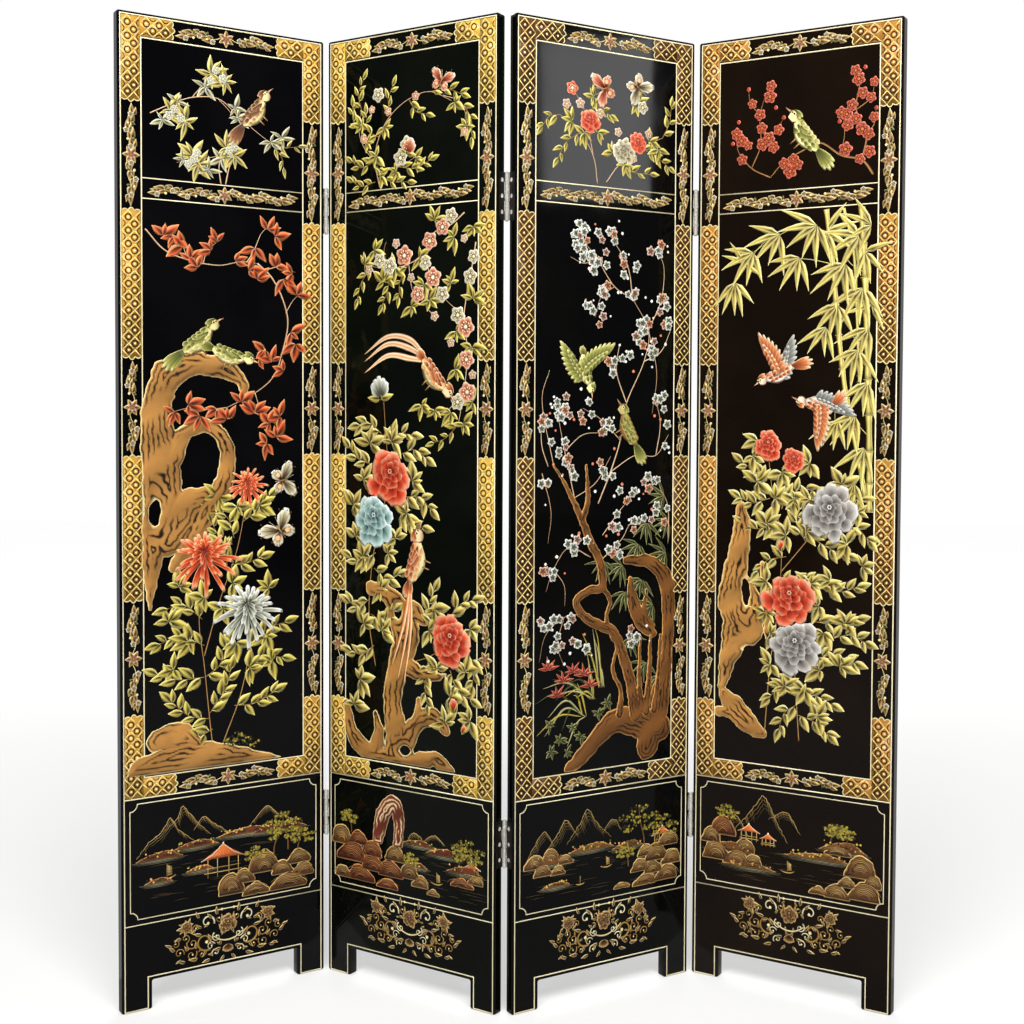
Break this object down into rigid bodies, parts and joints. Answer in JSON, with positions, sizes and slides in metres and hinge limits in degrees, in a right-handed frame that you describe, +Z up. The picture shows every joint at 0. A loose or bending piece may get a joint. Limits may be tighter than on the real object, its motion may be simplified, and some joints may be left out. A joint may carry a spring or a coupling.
{
  "type": "folding lacquer screen",
  "caption": "Tall folding room screen of hinged black lacquer panels with painted bird-and-flower fields, a gold diaper border and short feet, standing in a zigzag.",
  "frame": {"origin": "on the floor, below the middle of the screen as it stands in its zigzag", "axes": "+Z up, the fronts of the panels face -Y, +X runs from the first panel to the last"},
  "size_m": [1.436, 0.2466, 1.829],
  "materials": {
    "board_lacquer": "high-gloss black lacquer with gold and coloured painting",
    "frame_lacquer": "high-gloss black lacquer",
    "hinge_leaf": "dark lacquered steel with a bright barrel",
    "hinge_pin": "bright nickel-plated steel"
  },
  "bodies": {
    "panel_1": {"panel_1_front_board": "board_lacquer", "panel_1_back_board": "board_lacquer", "panel_1_left_stile": "frame_lacquer", "panel_1_right_stile": "frame_lacquer", "panel_1_top_rail": "frame_lacquer", "panel_1_waist_rail": "frame_lacquer", "panel_1_apron_rail": "frame_lacquer", "joint_12_upper_left_leaf": "hinge_leaf", "joint_12_upper_pin": "hinge_pin", "joint_12_lower_left_leaf": "hinge_leaf", "joint_12_lower_pin": "hinge_pin"},
    "panel_2": {"panel_2_front_board": "board_lacquer", "panel_2_back_board": "board_lacquer", "panel_2_left_stile": "frame_lacquer", "panel_2_right_stile": "frame_lacquer", "panel_2_top_rail": "frame_lacquer", "panel_2_waist_rail": "frame_lacquer", "panel_2_apron_rail": "frame_lacquer", "joint_12_upper_right_leaf": "hinge_leaf", "joint_12_lower_right_leaf": "hinge_leaf", "joint_23_upper_left_leaf": "hinge_leaf", "joint_23_upper_pin": "hinge_pin", "joint_23_lower_left_leaf": "hinge_leaf", "joint_23_lower_pin": "hinge_pin"},
    "panel_3": {"panel_3_front_board": "board_lacquer", "panel_3_back_board": "board_lacquer", "panel_3_left_stile": "frame_lacquer", "panel_3_right_stile": "frame_lacquer", "panel_3_top_rail": "frame_lacquer", "panel_3_waist_rail": "frame_lacquer", "panel_3_apron_rail": "frame_lacquer", "joint_23_upper_right_leaf": "hinge_leaf", "joint_23_lower_right_leaf": "hinge_leaf", "joint_34_upper_left_leaf": "hinge_leaf", "joint_34_upper_pin": "hinge_pin", "joint_34_lower_left_leaf": "hinge_leaf", "joint_34_lower_pin": "hinge_pin"},
    "panel_4": {"panel_4_front_board": "board_lacquer", "panel_4_back_board": "board_lacquer", "panel_4_left_stile": "frame_lacquer", "panel_4_right_stile": "frame_lacquer", "panel_4_top_rail": "frame_lacquer", "panel_4_waist_rail": "frame_lacquer", "panel_4_apron_rail": "frame_lacquer", "joint_34_upper_right_leaf": "hinge_leaf", "joint_34_lower_right_leaf": "hinge_leaf"}
  },
  "joints": [
    {"name": "fold_1_2", "type": "hinge", "parent": "panel_1", "child": "panel_2", "pos_m": [-0.36406, 0.10829, 0], "axis": [0, 0, 1], "range_deg": [-112.5, 67.5]},
    {"name": "fold_2_3", "type": "hinge", "parent": "panel_2", "child": "panel_3", "pos_m": [-0.00715, -0.10471, 0], "axis": [0, 0, 1], "range_deg": [-65.5, 114.5]},
    {"name": "fold_3_4", "type": "hinge", "parent": "panel_3", "child": "panel_4", "pos_m": [0.35871, 0.09252, 0], "axis": [0, 0, 1], "range_deg": [-116.5, 63.5]}
  ]
}
